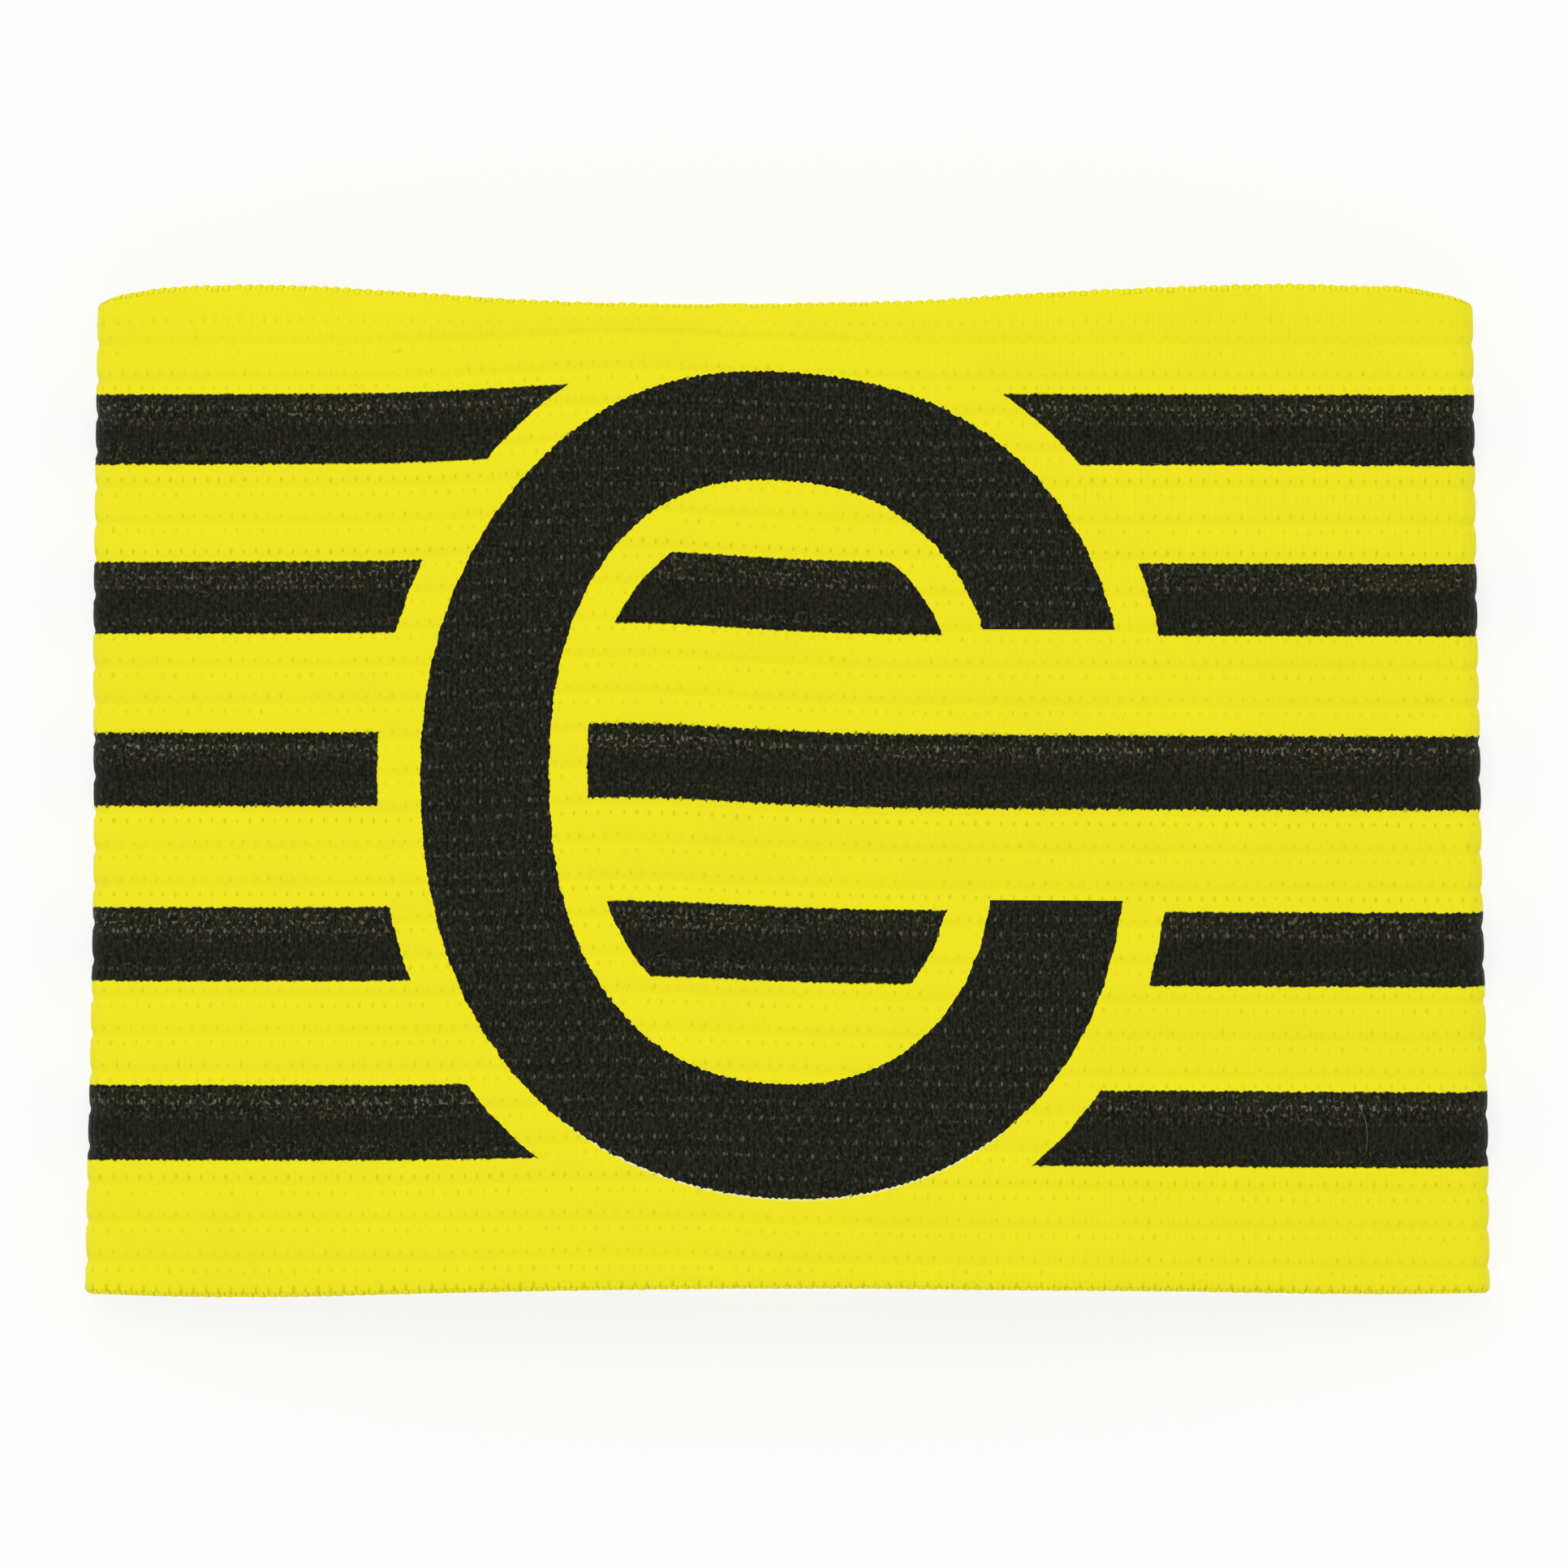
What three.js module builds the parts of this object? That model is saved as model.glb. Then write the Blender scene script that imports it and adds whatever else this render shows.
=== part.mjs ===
// Captain's armband, lying flat: one wide strip of ribbed elastic webbing, lapped and sewn into
// a loop at the middle of its back layer.
//
// Millimetres. +X runs across the front from fold to fold, +Y across the strip towards its upper
// selvedge, and +Z up from the surface that the back layer lies on. The origin is the middle of
// the footprint, on that surface.
//
// The strip is one ring: the back layer flat on the surface, a tight fold at each end, and the
// front layer standing in a low arch over the back, so that the way for the arm stays open.

import * as THREE from 'three';

// Driving dimensions of the loop
const flatWidth = 126.7; // from fold to fold along the lower selvedge
const flatTaper = 2.6; // how much less that is along the upper selvedge
const bandWidth = 88.7; // from selvedge to selvedge on the back layer
const wall = 1.4; // thickness of the webbing over its ribs
const foldInnerRadius = 1.2; // inside radius of the two folds
const archRise = 6.3; // rise of the front layer's middle above its folds

// Driving dimensions of the ribs, which run along the strip
const ribCount = 27;
const lowerRibWidth = 2.5; // width of the rib along the lower selvedge
const upperRibWidth = 3.65; // width of the rib along the upper selvedge
const ribRelief = 0.25; // depth of the groove between two ribs
const grooveWidth = 1.36; // width of that groove at its mouth
const ribCrowding = 0.7; // how far the ribs crowd towards the upper selvedge at mid width

// Driving dimensions of the selvedges
const selvedgeFlat = 0.22; // thickness left flat between a selvedge's two rounded corners
const selvedgeWave = 1.85; // height of the slack wave along the front's upper selvedge
const waveReach = 11; // how far into the strip that wave dies out

// Driving dimensions of the sewn lap in the back layer
const lapLength = 12; // overlap of the strip's two ends
const lapRun = 3; // length over which the upper ply climbs on to the lower one
const lapPress = 0.1; // how far the stitching presses the climbing ply down
const cutBevel = 0.25; // slope of a cut end, from one face to the other

// How finely the curved stretches are divided
const foldSteps = 6;
const frontSteps = 18;

// The slack wave of the front's two selvedges. "along" goes from the left fold (-1) to the right
// fold (1). "upper" and "lower" say how far each selvedge stands out there, as shares of
// selvedgeWave.
const waveTable = [
  { along: -1.0, upper: 0.0, lower: 0.2 },
  { along: -0.94, upper: 0.62, lower: 0.33 },
  { along: -0.84, upper: 0.96, lower: 0.39 },
  { along: -0.72, upper: 1.0, lower: 0.4 },
  { along: -0.56, upper: 0.66, lower: 0.27 },
  { along: -0.36, upper: 0.2, lower: 0.14 },
  { along: -0.12, upper: 0.0, lower: 0.0 },
  { along: 0.1, upper: 0.17, lower: 0.0 },
  { along: 0.34, upper: 0.5, lower: 0.08 },
  { along: 0.56, upper: 0.88, lower: 0.13 },
  { along: 0.76, upper: 1.0, lower: 0.24 },
  { along: 0.93, upper: 0.66, lower: 0.24 },
  { along: 1.0, upper: 0.08, lower: 0.2 },
];

// Sizes that follow from the driving dimensions
const foldOuterRadius = foldInnerRadius + wall;
const foldMidRadius = foldInnerRadius + wall / 2;
const lowerFoldX = flatWidth / 2 - foldOuterRadius;
const archSlope = Math.atan((2 * archRise) / lowerFoldX);
const archFoot = foldOuterRadius + foldMidRadius * Math.cos(archSlope);

// Distance of a fold's centre from the middle of the loop, at a height up the strip, which is
// measured from the lower selvedge.
function foldCentreX(up) {
  return lowerFoldX - ((flatTaper / 2) * up) / bandWidth;
}

// A Catmull-Rom curve through one column of the wave table, read at a place along the front.
function waveAt(along, column) {
  const last = waveTable.length - 1;
  const after = waveTable.findIndex((row) => row.along >= along);
  const right = Math.min(Math.max(after, 1), last);
  const rows = [right - 2, right - 1, right, right + 1].map(
    (i) => waveTable[Math.min(Math.max(i, 0), last)],
  );
  const share = (along - rows[1].along) / (rows[2].along - rows[1].along);
  const reach = rows[2].along - rows[1].along;
  const slopeIn = ((rows[2][column] - rows[0][column]) / (rows[2].along - rows[0].along)) * reach;
  const slopeOut = ((rows[3][column] - rows[1][column]) / (rows[3].along - rows[1].along)) * reach;
  const t2 = share * share;
  const t3 = t2 * share;
  return (
    (2 * t3 - 3 * t2 + 1) * rows[1][column] +
    (t3 - 2 * t2 + share) * slopeIn +
    (3 * t2 - 2 * t3) * rows[2][column] +
    (t3 - t2) * slopeOut
  );
}

// Each station below is a place round the loop: face(up, depth) gives x and z there, at a
// height up the strip and a depth under the ribs, from 0 on the outside to wall on the inside.
// upper and lower say how far the selvedges stand out there.

// A place on the back layer, between a lower and an upper face.
function backStation(xAt, low = 0, high = wall) {
  return {
    face: (up, depth) => [xAt(up), depth < wall / 2 ? low + depth : high - (wall - depth)],
    upper: 0,
    lower: 0,
  };
}

// A place on the fold at one side, at a share of its turn from the back to the front.
function foldStation(side, turn) {
  const angle = -Math.PI / 2 + turn * (Math.PI - archSlope);
  return {
    face: (up, depth) => [
      side * (foldCentreX(up) + (foldOuterRadius - depth) * Math.cos(angle)),
      foldOuterRadius + (foldOuterRadius - depth) * Math.sin(angle),
    ],
    upper: turn * selvedgeWave * waveAt(side, 'upper'),
    lower: turn * selvedgeWave * waveAt(side, 'lower'),
  };
}

// A place on the arched front, from its left foot (-1) to its right foot (1).
function frontStation(along) {
  return {
    face: (up, depth) => {
      const footX = foldCentreX(up) + foldMidRadius * Math.sin(archSlope);
      const lean = Math.atan((2 * archRise * along) / footX);
      const out = wall / 2 - depth;
      return [
        along * footX + out * Math.sin(lean),
        archFoot + archRise * (1 - along * along) + out * Math.cos(lean),
      ];
    },
    upper: selvedgeWave * waveAt(along, 'upper'),
    lower: selvedgeWave * waveAt(along, 'lower'),
  };
}

// All the stations in order: along the back to the right, up the right fold, over the front to
// the left, closest together near the folds, and down the left fold.
function loopStations() {
  const lapEnd = lapLength / 2;
  const overLap = 2 * wall;
  const stations = [
    backStation((up) => -(foldCentreX(up) + lapEnd) / 2),
    backStation(() => -lapEnd - lapRun),
    backStation(() => -lapEnd - cutBevel, wall - lapPress, overLap),
    backStation(() => -lapEnd, 0, overLap),
    backStation(() => lapEnd, 0, overLap),
    backStation(() => lapEnd + cutBevel),
    backStation((up) => (foldCentreX(up) + lapEnd) / 2),
  ];
  for (let i = 0; i <= foldSteps; i += 1) {
    stations.push(foldStation(1, i / foldSteps));
  }
  for (let i = 1; i < frontSteps; i += 1) {
    stations.push(frontStation(Math.cos((i / frontSteps) * Math.PI)));
  }
  for (let i = foldSteps; i >= 0; i -= 1) {
    stations.push(foldStation(-1, i / foldSteps));
  }
  return stations;
}

// Where a groove's middle lies up the strip, the lowest groove being number 0.
function grooveMiddle(number) {
  const share = number / (ribCount - 2);
  const grooved = bandWidth - lowerRibWidth - upperRibWidth;
  return lowerRibWidth + grooved * share + ribCrowding * 4 * share * (1 - share);
}

// The strip's cross-section as a closed outline of { up, depth }: the ribs of the outside from
// the lower selvedge to the upper one, the upper selvedge's edge, the plain inside, and the lower
// selvedge's edge.
function stripSection() {
  const half = grooveWidth / 2;
  const round = (wall - selvedgeFlat) / 2;
  const outside = [{ up: half, depth: 0 }];
  for (let i = 0; i < ribCount - 1; i += 1) {
    const middle = grooveMiddle(i);
    outside.push({ up: middle - half, depth: 0 });
    outside.push({ up: middle, depth: ribRelief });
    outside.push({ up: middle + half, depth: 0 });
  }
  outside.push({ up: bandWidth - half, depth: 0 });
  return [
    ...outside,
    { up: bandWidth, depth: round },
    { up: bandWidth, depth: wall - round },
    { up: bandWidth - half, depth: wall },
    { up: half, depth: wall },
    { up: 0, depth: wall - round },
    { up: 0, depth: round },
  ];
}

// The y of a point up the strip, with the selvedges' waves dying out inwards.
function acrossStrip(up, station) {
  const fromUpper = Math.max(0, 1 - (bandWidth - up) / waveReach);
  const fromLower = Math.max(0, 1 - up / waveReach);
  const waves = station.upper * fromUpper ** 2 - station.lower * fromLower ** 2;
  return up - bandWidth / 2 + waves;
}

// The whole strip: the cross-section carried round the loop and closed on its start, then set
// with the middle of its footprint at the origin.
function elasticBandGeometry() {
  const stations = loopStations();
  const section = stripSection();
  const positions = [];
  for (const station of stations) {
    for (const { up, depth } of section) {
      const [x, z] = station.face(up, depth);
      positions.push(x, acrossStrip(up, station), z);
    }
  }
  const index = [];
  const ring = section.length;
  for (let i = 0; i < stations.length; i += 1) {
    const here = i * ring;
    const next = ((i + 1) % stations.length) * ring;
    for (let j = 0; j < ring; j += 1) {
      const k = (j + 1) % ring;
      index.push(here + j, next + k, next + j, here + j, here + k, next + k);
    }
  }
  const geometry = new THREE.BufferGeometry();
  geometry.setAttribute('position', new THREE.Float32BufferAttribute(positions, 3));
  geometry.setIndex(index);
  geometry.computeBoundingBox();
  const { min, max } = geometry.boundingBox;
  geometry.translate(-(min.x + max.x) / 2, -(min.y + max.y) / 2, -min.z);
  geometry.computeVertexNormals();
  return geometry;
}

// Bright yellow woven elastic, dull all over
const elasticMaterial = new THREE.MeshStandardMaterial({
  color: 0xeee522,
  roughness: 0.9,
  metalness: 0,
});

function elasticBand() {
  const mesh = new THREE.Mesh(elasticBandGeometry(), elasticMaterial);
  mesh.name = 'elastic_band';
  return mesh;
}

const armband = new THREE.Group();
armband.name = 'captain_armband';
armband.add(elasticBand());

export default armband;
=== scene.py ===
# %% [markdown]
# # A captain's armband, laid flat
#
# The armband is one wide strip of ribbed elastic webbing. It is printed with a letter and five
# stripes, and its two ends are lapped and sewn, which makes it a loop. It lies on its back layer,
# and its front stands over that in a low arch.
#
# The frame gives the loop's box. Everything below is worked out in millimetres from that box and
# from a few sizes of the webbing, and goes into the meshes in metres.

# %% The frame and the sizes of the strip
import math

import bpy
import numpy as np
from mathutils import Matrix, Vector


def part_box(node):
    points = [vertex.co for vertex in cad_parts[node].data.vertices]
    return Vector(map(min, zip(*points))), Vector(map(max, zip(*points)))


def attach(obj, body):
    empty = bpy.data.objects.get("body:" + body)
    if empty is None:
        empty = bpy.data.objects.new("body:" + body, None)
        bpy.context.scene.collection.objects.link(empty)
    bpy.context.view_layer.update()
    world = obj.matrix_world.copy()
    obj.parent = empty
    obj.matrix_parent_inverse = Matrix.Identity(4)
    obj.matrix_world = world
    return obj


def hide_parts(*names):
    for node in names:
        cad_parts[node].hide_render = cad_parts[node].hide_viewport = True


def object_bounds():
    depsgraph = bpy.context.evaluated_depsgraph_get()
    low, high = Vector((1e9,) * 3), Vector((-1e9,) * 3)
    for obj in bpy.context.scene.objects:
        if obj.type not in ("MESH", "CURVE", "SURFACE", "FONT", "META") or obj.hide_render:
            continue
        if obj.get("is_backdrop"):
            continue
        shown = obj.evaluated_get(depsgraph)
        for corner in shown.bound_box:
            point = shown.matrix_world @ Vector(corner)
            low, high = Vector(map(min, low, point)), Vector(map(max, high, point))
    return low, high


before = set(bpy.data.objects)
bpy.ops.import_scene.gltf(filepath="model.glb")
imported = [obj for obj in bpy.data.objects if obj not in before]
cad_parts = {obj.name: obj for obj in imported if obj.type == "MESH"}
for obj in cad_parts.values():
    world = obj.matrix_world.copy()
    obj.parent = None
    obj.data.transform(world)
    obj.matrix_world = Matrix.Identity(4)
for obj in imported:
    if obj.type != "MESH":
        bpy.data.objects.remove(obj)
cad_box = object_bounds()
MM = 0.001  # metres in a millimetre

low, high = (np.array(corner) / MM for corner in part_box("elastic_band"))
wall = 1.4  # the webbing over its ribs
fold_inner_radius = 1.2
flat_taper = 2.6  # how much narrower the loop is along its upper selvedge
lap_length = 12.0
lap_run = 3.0  # length over which the upper ply climbs on to the lower one
ply_gap = 0.03  # air between the two sewn plies

# The slack wave of the front's selvedges. "along" goes from the left fold (-1) to the right (1),
# and "upper" and "lower" are how far each selvedge stands out there, in millimetres.
slack_wave = np.array(
    [
        (-1.00, 0.88, 0.62),
        (-0.94, 1.42, 0.76),
        (-0.84, 1.68, 0.84),
        (-0.72, 1.58, 0.80),
        (-0.56, 0.98, 0.53),
        (-0.36, 0.20, 0.25),
        (-0.12, -0.09, 0.05),
        (0.10, 0.06, 0.03),
        (0.22, 0.27, 0.09),
        (0.34, 0.77, 0.18),
        (0.56, 1.44, 0.29),
        (0.76, 1.76, 0.52),
        (0.88, 1.58, 0.57),
        (0.93, 1.57, 0.58),
        (1.00, 0.82, 0.55),
    ],
    dtype=[("along", float), ("upper", float), ("lower", float)],
)
wave_reach = 4.0  # how far into the strip the wave dies out

band_width = 88.7  # from selvedge to selvedge on the back layer
front_overhang = 0.76  # of the front's lower selvedge past the back's
lower_selvedge_y = low[1] + front_overhang
fold_outer_radius = fold_inner_radius + wall
fold_mid_radius = fold_inner_radius + wall / 2
fold_x = (high[0] - low[0]) / 2 - fold_outer_radius  # centre of a fold, at the lower selvedge
arch_top = high[2] - wall / 2  # of the middle of the front's wall
arch_slope = math.atan(2 * (arch_top - fold_outer_radius - fold_mid_radius) / fold_x)
arch_foot = fold_outer_radius + fold_mid_radius * math.cos(arch_slope)
arch_rise = arch_top - arch_foot
print(f"strip {band_width:.1f} mm wide, loop {high[0] - low[0]:.1f} mm across, rise {arch_rise:.2f} mm")

# %% [markdown]
# ## Round the loop
#
# Webbing is measured along its length and across its width, so its shape is written that way. A
# length along the strip, counted from the front's middle, gives a point of the wall's middle and
# the direction straight out of it. The strip runs along the back, round the right fold, over the
# front, round the left fold and along the back again, where it climbs over its own first end.


# %% A point of the wall's middle
def smooth(t):
    """Goes from 0 to 1 with flat ends as t does: three t squared less two t cubed."""
    t = np.clip(t, 0.0, 1.0)
    return t * t * (3 - 2 * t)


def curve_at(table, column, place):
    """A curve through one column of a table, read at a place in its first column: each stretch is
    a cubic, whose slope at a row is the slope from the row before it to the row after it."""
    x, y = table[table.dtype.names[0]], table[column]
    rows = np.arange(len(x))
    before, after = np.maximum(rows - 1, 0), np.minimum(rows + 1, len(x) - 1)
    slope = (y[after] - y[before]) / (x[after] - x[before])
    right = np.clip(np.searchsorted(x, place), 1, len(x) - 1)
    left = right - 1
    reach = x[right] - x[left]
    t = np.clip((place - x[left]) / reach, 0, 1)
    return (
        y[left] + (y[right] - y[left]) * smooth(t)
        + reach * t * (1 - t) * (slope[left] * (1 - t) - slope[right] * t)
    )


def fold_centre(up):
    """Distance of a fold's centre from the middle, which shrinks evenly up the strip."""
    return fold_x - flat_taper / 2 * up / band_width


def front_half(up):
    """Half the front's length: half its chord, and the little more that its parabola takes."""
    foot = fold_centre(up) + fold_mid_radius * math.sin(arch_slope)
    return foot + 2 / 3 * arch_rise**2 / foot, foot


fold_turn = math.pi - arch_slope
fold_length = fold_mid_radius * fold_turn


def strip_half(up):
    """Half the strip's length at a height up it, from the front's middle to a cut end."""
    return front_half(up)[0] + fold_length + fold_centre(up) + lap_length / 2


def round_loop(s, up):
    """The wall's middle at a length s along the strip and a height up it.

    On the front, x is s less what the parabola takes, and z is the rise times one less the square
    of the share of the way out. On a fold both are on an arc. On the back z is half the wall, and
    near the second end it is a wall more, past a smooth step. Returns x, z, the outward
    direction's x and z, the place along the front from -1 to 1, and how much of the front's
    slackness there is: 1 on the front, less down a fold and 0 on the back.
    """
    side = np.where(s < 0, -1.0, 1.0)
    length = np.abs(s)
    half, foot = front_half(up)
    past_front = length - half
    past_fold = past_front - fold_length

    share = np.clip(length / half, 0, 1)
    share = share + 2 / 3 * (arch_rise / foot) ** 2 * share * (1 - share**2)
    front_lean = np.arctan(2 * arch_rise * share / foot)
    front = (
        share * foot, arch_foot + arch_rise * (1 - share**2),
        np.sin(front_lean), np.cos(front_lean),
    )

    slack = 1 - np.clip(past_front / fold_length, 0, 1)
    angle = slack * fold_turn - math.pi / 2
    arc_x, arc_z = np.cos(angle), np.sin(angle)
    fold = (
        fold_centre(up) + fold_mid_radius * arc_x, fold_outer_radius + fold_mid_radius * arc_z,
        arc_x, arc_z,
    )

    back_x = fold_centre(up) - past_fold
    step = wall + ply_gap
    climb = np.where(side < 0, (lap_length / 2 + lap_run - back_x) / lap_run, 0.0)
    climb = np.clip(climb, 0, 1)
    back_lean = np.arctan(step / lap_run * 6 * climb * (1 - climb))
    back = (back_x, wall / 2 + step * smooth(climb), -np.sin(back_lean), -np.cos(back_lean))

    on = [past_front < 0, past_fold < 0]
    x, z, out_x, out_z = (np.select(on, values[:2], values[2]) for values in zip(front, fold, back))
    along = side * np.where(past_front < 0, share, 1.0)
    return side * x, z, side * out_x, out_z, along, slack


# %% [markdown]
# ## Ribs, and the slack of real cloth
#
# The ribs run along the strip, with a shallow groove and its two rows of stitches between one rib
# and the next. The cloth has been handled: to the left of the letter's middle it is pushed up by
# a millimetre, and towards the right fold it sags. Both are written as a shift across the strip,
# so that the ribs, the stitches and the print move together, as they do on the real thing.

# %% The sizes across the strip
rib_count = 27
lower_rib = 2.5  # width of the rib along the lower selvedge
upper_rib = 3.65
rib_relief = 0.13  # depth of a groove
rib_dome = 0.03  # how far a rib's middle stands over its two lips
groove_half = 0.68  # from a groove's middle to its lips, where the stitches are
rib_crowding = 0.7  # how far the ribs crowd towards the upper selvedge at mid width
rib_pitch = (band_width - lower_rib - upper_rib) / (rib_count - 2)

push_low, push_high = 0.48, 1.0  # of the cloth pushed up, at the lowest stripe and the fourth
push_x, push_width = -14.6, 9.75  # middle and breadth of the place where it is pushed
sag_low, sag_high = 0.78, 0.07  # of the cloth that sags, at the lowest and the highest stripe
sag_from, sag_over = -49.5, 129.0  # where the sag begins, and the length over which it grows
print_low, print_high = 11.4, 80.6  # heights from which to which the print reaches
pushed_from = 60.5  # height from which the push is whole
held_by_lower, held_by_upper = 3.0, 4.0  # how far each selvedge keeps the cloth near it in place

# How far the left and the right fold stand out past their even lines at a height up the strip
fold_line = np.array(
    [
        (0.0, 0.10, 0.16),
        (10.0, 0.09, 0.19),
        (16.0, 0.01, 0.20),
        (24.0, -0.05, 0.15),
        (40.0, -0.07, 0.00),
        (50.0, 0.10, 0.00),
        (60.0, 0.25, -0.08),
        (band_width, 0.28, -0.08),
    ],
    dtype=[("up", float), ("left", float), ("right", float)],
)


def crowded(w):
    """Height up the strip of a place w on evenly ribbed cloth: w and a parabola that is zero at
    the lowest and the highest groove."""
    share = np.clip((w - lower_rib) / (rib_pitch * (rib_count - 2)), 0, 1)
    return w + 4 * rib_crowding * share * (1 - share)


def rib_number(w):
    """Counts the grooves from the lower selvedge, with a whole number at the middle of each."""
    return 1 + (w - lower_rib) / rib_pitch


def rib_depth(w):
    """Depth under the ribs' tops: a raised cosine across each groove, and a dome on each rib."""
    number = rib_number(w)
    nearest = np.clip(np.round(number), 1, rib_count - 1)
    off = np.abs(number - nearest) * rib_pitch
    groove = 0.5 + 0.5 * np.cos(np.pi * np.clip(off / groove_half, 0, 1))
    dome = np.sin(np.pi * np.clip((off - groove_half) / (rib_pitch - 2 * groove_half), 0, 1))
    return rib_dome * (1 - dome) + (rib_relief - rib_dome) * groove


def handled(x, up):
    """How far the cloth has moved up the strip: a bell curve in x, less a smooth step in x."""
    share = (up - print_low) / (print_high - print_low)
    pushed = push_low + (push_high - push_low) * smooth((up - print_low) / (pushed_from - print_low))
    bell = np.exp(-0.5 * ((x - push_x) / push_width) ** 2)
    sag = (sag_low + (sag_high - sag_low) * share) * smooth((x - sag_from) / sag_over)
    held = smooth((band_width - up) / held_by_upper) * smooth(up / held_by_lower)
    return (pushed * bell - sag) * held


high_wave, low_wave = 0.07, 0.03  # heights of the front's slow waves


def unevenness(x, y):
    """Slow unevenness of the front in millimetres: a product of a wave along and one across, and
    two slanted waves, each some centimetres long."""
    return (
        high_wave * np.sin(x / 7.9 + 0.6) * np.cos(y / 17.0 + 0.3)
        + low_wave * np.sin(x / 5.3 - y / 11.0)
        + low_wave * np.cos(y / 8.3 + x / 23.0)
    )


# %% The cloth itself
seam_x = (-4.3, 4.3)  # middles of the two rows that sew the lap
seam_press = 0.14  # how far they draw each face of the cloth in
seam_reach = 1.1  # how far from a row the cloth is drawn in
fold_relief = 0.07  # how much deeper a groove is where the strip is bent round a fold
back_handled = 0.4  # share of the handling that the back layer takes part in
even_end = 0.15  # share of the front's half beside each fold where it turns even


def cloth(share, w, depth):
    """Points of the cloth at a share of half the strip's length, from -1 to 1, a place w across
    it, and a depth under the ribs: the wall's middle, and from it half a wall less that depth
    straight out. The selvedges' slack is added across, and falls to zero at its reach by a square.
    The folds' own lines are added along. The seam draws the cloth in by a bell curve, and a groove
    deepens on a fold by a parabola that is zero at the fold's two ends. Also returns the length
    along, the height up and the groove's number there."""
    up = crowded(w)
    s = share * strip_half(up)
    x, z, out_x, out_z, along, slack = round_loop(s, up)
    near_upper = np.clip(1 - (band_width - up) / wave_reach, 0, 1) ** 2
    near_lower = np.clip(1 - up / wave_reach, 0, 1) ** 2
    upper = np.clip(2 * slack - 1, 0, 1) * curve_at(slack_wave, "upper", along) * near_upper
    lower = np.clip(2 * slack, 0, 1) * curve_at(slack_wave, "lower", along) * near_lower
    shifted = handled(x, up) * (back_handled + (1 - back_handled) * slack)
    y = lower_selvedge_y + up + upper - lower + shifted
    side = np.sign(x)
    fold_out = np.where(side < 0, curve_at(fold_line, "left", up), curve_at(fold_line, "right", up))
    x = x + side * fold_out * smooth(np.abs(x) / fold_x)
    uneven = smooth((1 - np.abs(along)) / even_end) * unevenness(x, y)
    from_rows = [(x - row) / seam_reach for row in seam_x]
    drawn = seam_press * sum(np.exp(-(away**2)) for away in from_rows) * (slack <= 0)
    drawn_groove = fold_relief * rib_depth(w) / rib_relief * 4 * slack * (1 - slack)
    out = (wall / 2 - depth) * (1 - drawn / (wall / 2)) - drawn_groove
    points = np.stack(np.broadcast_arrays(x + out_x * out, y, z + out_z * out + uneven), axis=-1)
    measures = np.stack(np.broadcast_arrays(s, up, rib_number(w)), axis=-1)
    return points, measures


middle_half = strip_half(band_width / 2)
print(f"strip {2 * middle_half:.1f} mm long before sewing, {lap_length:.0f} mm of it in the lap")
print(f"ribs {rib_pitch:.2f} mm apart")

# %% [markdown]
# ## From a grid to a mesh
#
# A grid of points becomes a mesh when each point is joined to its neighbours. The corners of all
# the faces are worked out as one array. The cloth's own measures go with the points as an
# attribute, so that the print and the weave can follow the cloth wherever it bends.

# %% Helpers for meshes
def grid_faces(rows, columns, ring):
    """Corners of the quads between neighbouring points of a grid, whose rows are rings or lines."""
    last = columns if ring else columns - 1
    i, j = np.meshgrid(np.arange(rows - 1), np.arange(last), indexing="ij")
    k = (j + 1) % columns
    return np.stack(
        [i * columns + j, (i + 1) * columns + j, (i + 1) * columns + k, i * columns + k], axis=-1
    ).reshape(-1, 4)


def repeated(faces, points_each, copies):
    """The faces of many copies of one shape, each copy's points following the last one's."""
    start = np.arange(copies)[:, None, None] * points_each
    return (faces[None] + start).reshape(-1, faces.shape[1])


def new_piece(name, points, measures, faces, material, slot, outside=None):
    """A mesh object at the origin, from points in millimetres and lists of faces. outside is 1
    at the points on the cloth's outer face, which is the printed one, and 0 on the inner face."""
    mesh = bpy.data.meshes.new(name)
    corners = [face for part in faces for face in part.tolist()]
    mesh.from_pydata((points.reshape(-1, 3) * MM).tolist(), [], corners)
    mesh.polygons.foreach_set("use_smooth", np.ones(len(corners), bool))
    told = mesh.attributes.new("cloth", "FLOAT_VECTOR", "POINT")
    told.data.foreach_set("vector", measures.reshape(-1, 3).astype(np.float32).ravel())
    told = mesh.attributes.new("outside", "FLOAT", "POINT")
    outside = np.ones(len(mesh.vertices)) if outside is None else outside
    told.data.foreach_set("value", outside.astype(np.float32))
    mesh.materials.append(material)
    piece = bpy.data.objects.new(name, mesh)
    bpy.context.collection.objects.link(piece)
    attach(piece, "root")
    triangles = sum(len(face) - 2 for face in corners)
    print(f"{name}: {len(mesh.vertices)} points, {triangles} triangles")
    return piece


# %% [markdown]
# ## The print
#
# The letter is drawn with two superellipses, an outer and an inner one, and flat cuts for its
# mouth. A superellipse is an ellipse whose squares are another power, which makes it fuller in the
# corners. The letter's right side is drawn in a little beside the mouth, by a bell curve of the
# height. Round the letter a gap of bare cloth cuts the stripes. All of it is arithmetic on the
# cloth's own length and height, so that no picture is needed and the edges stay sharp.

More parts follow.
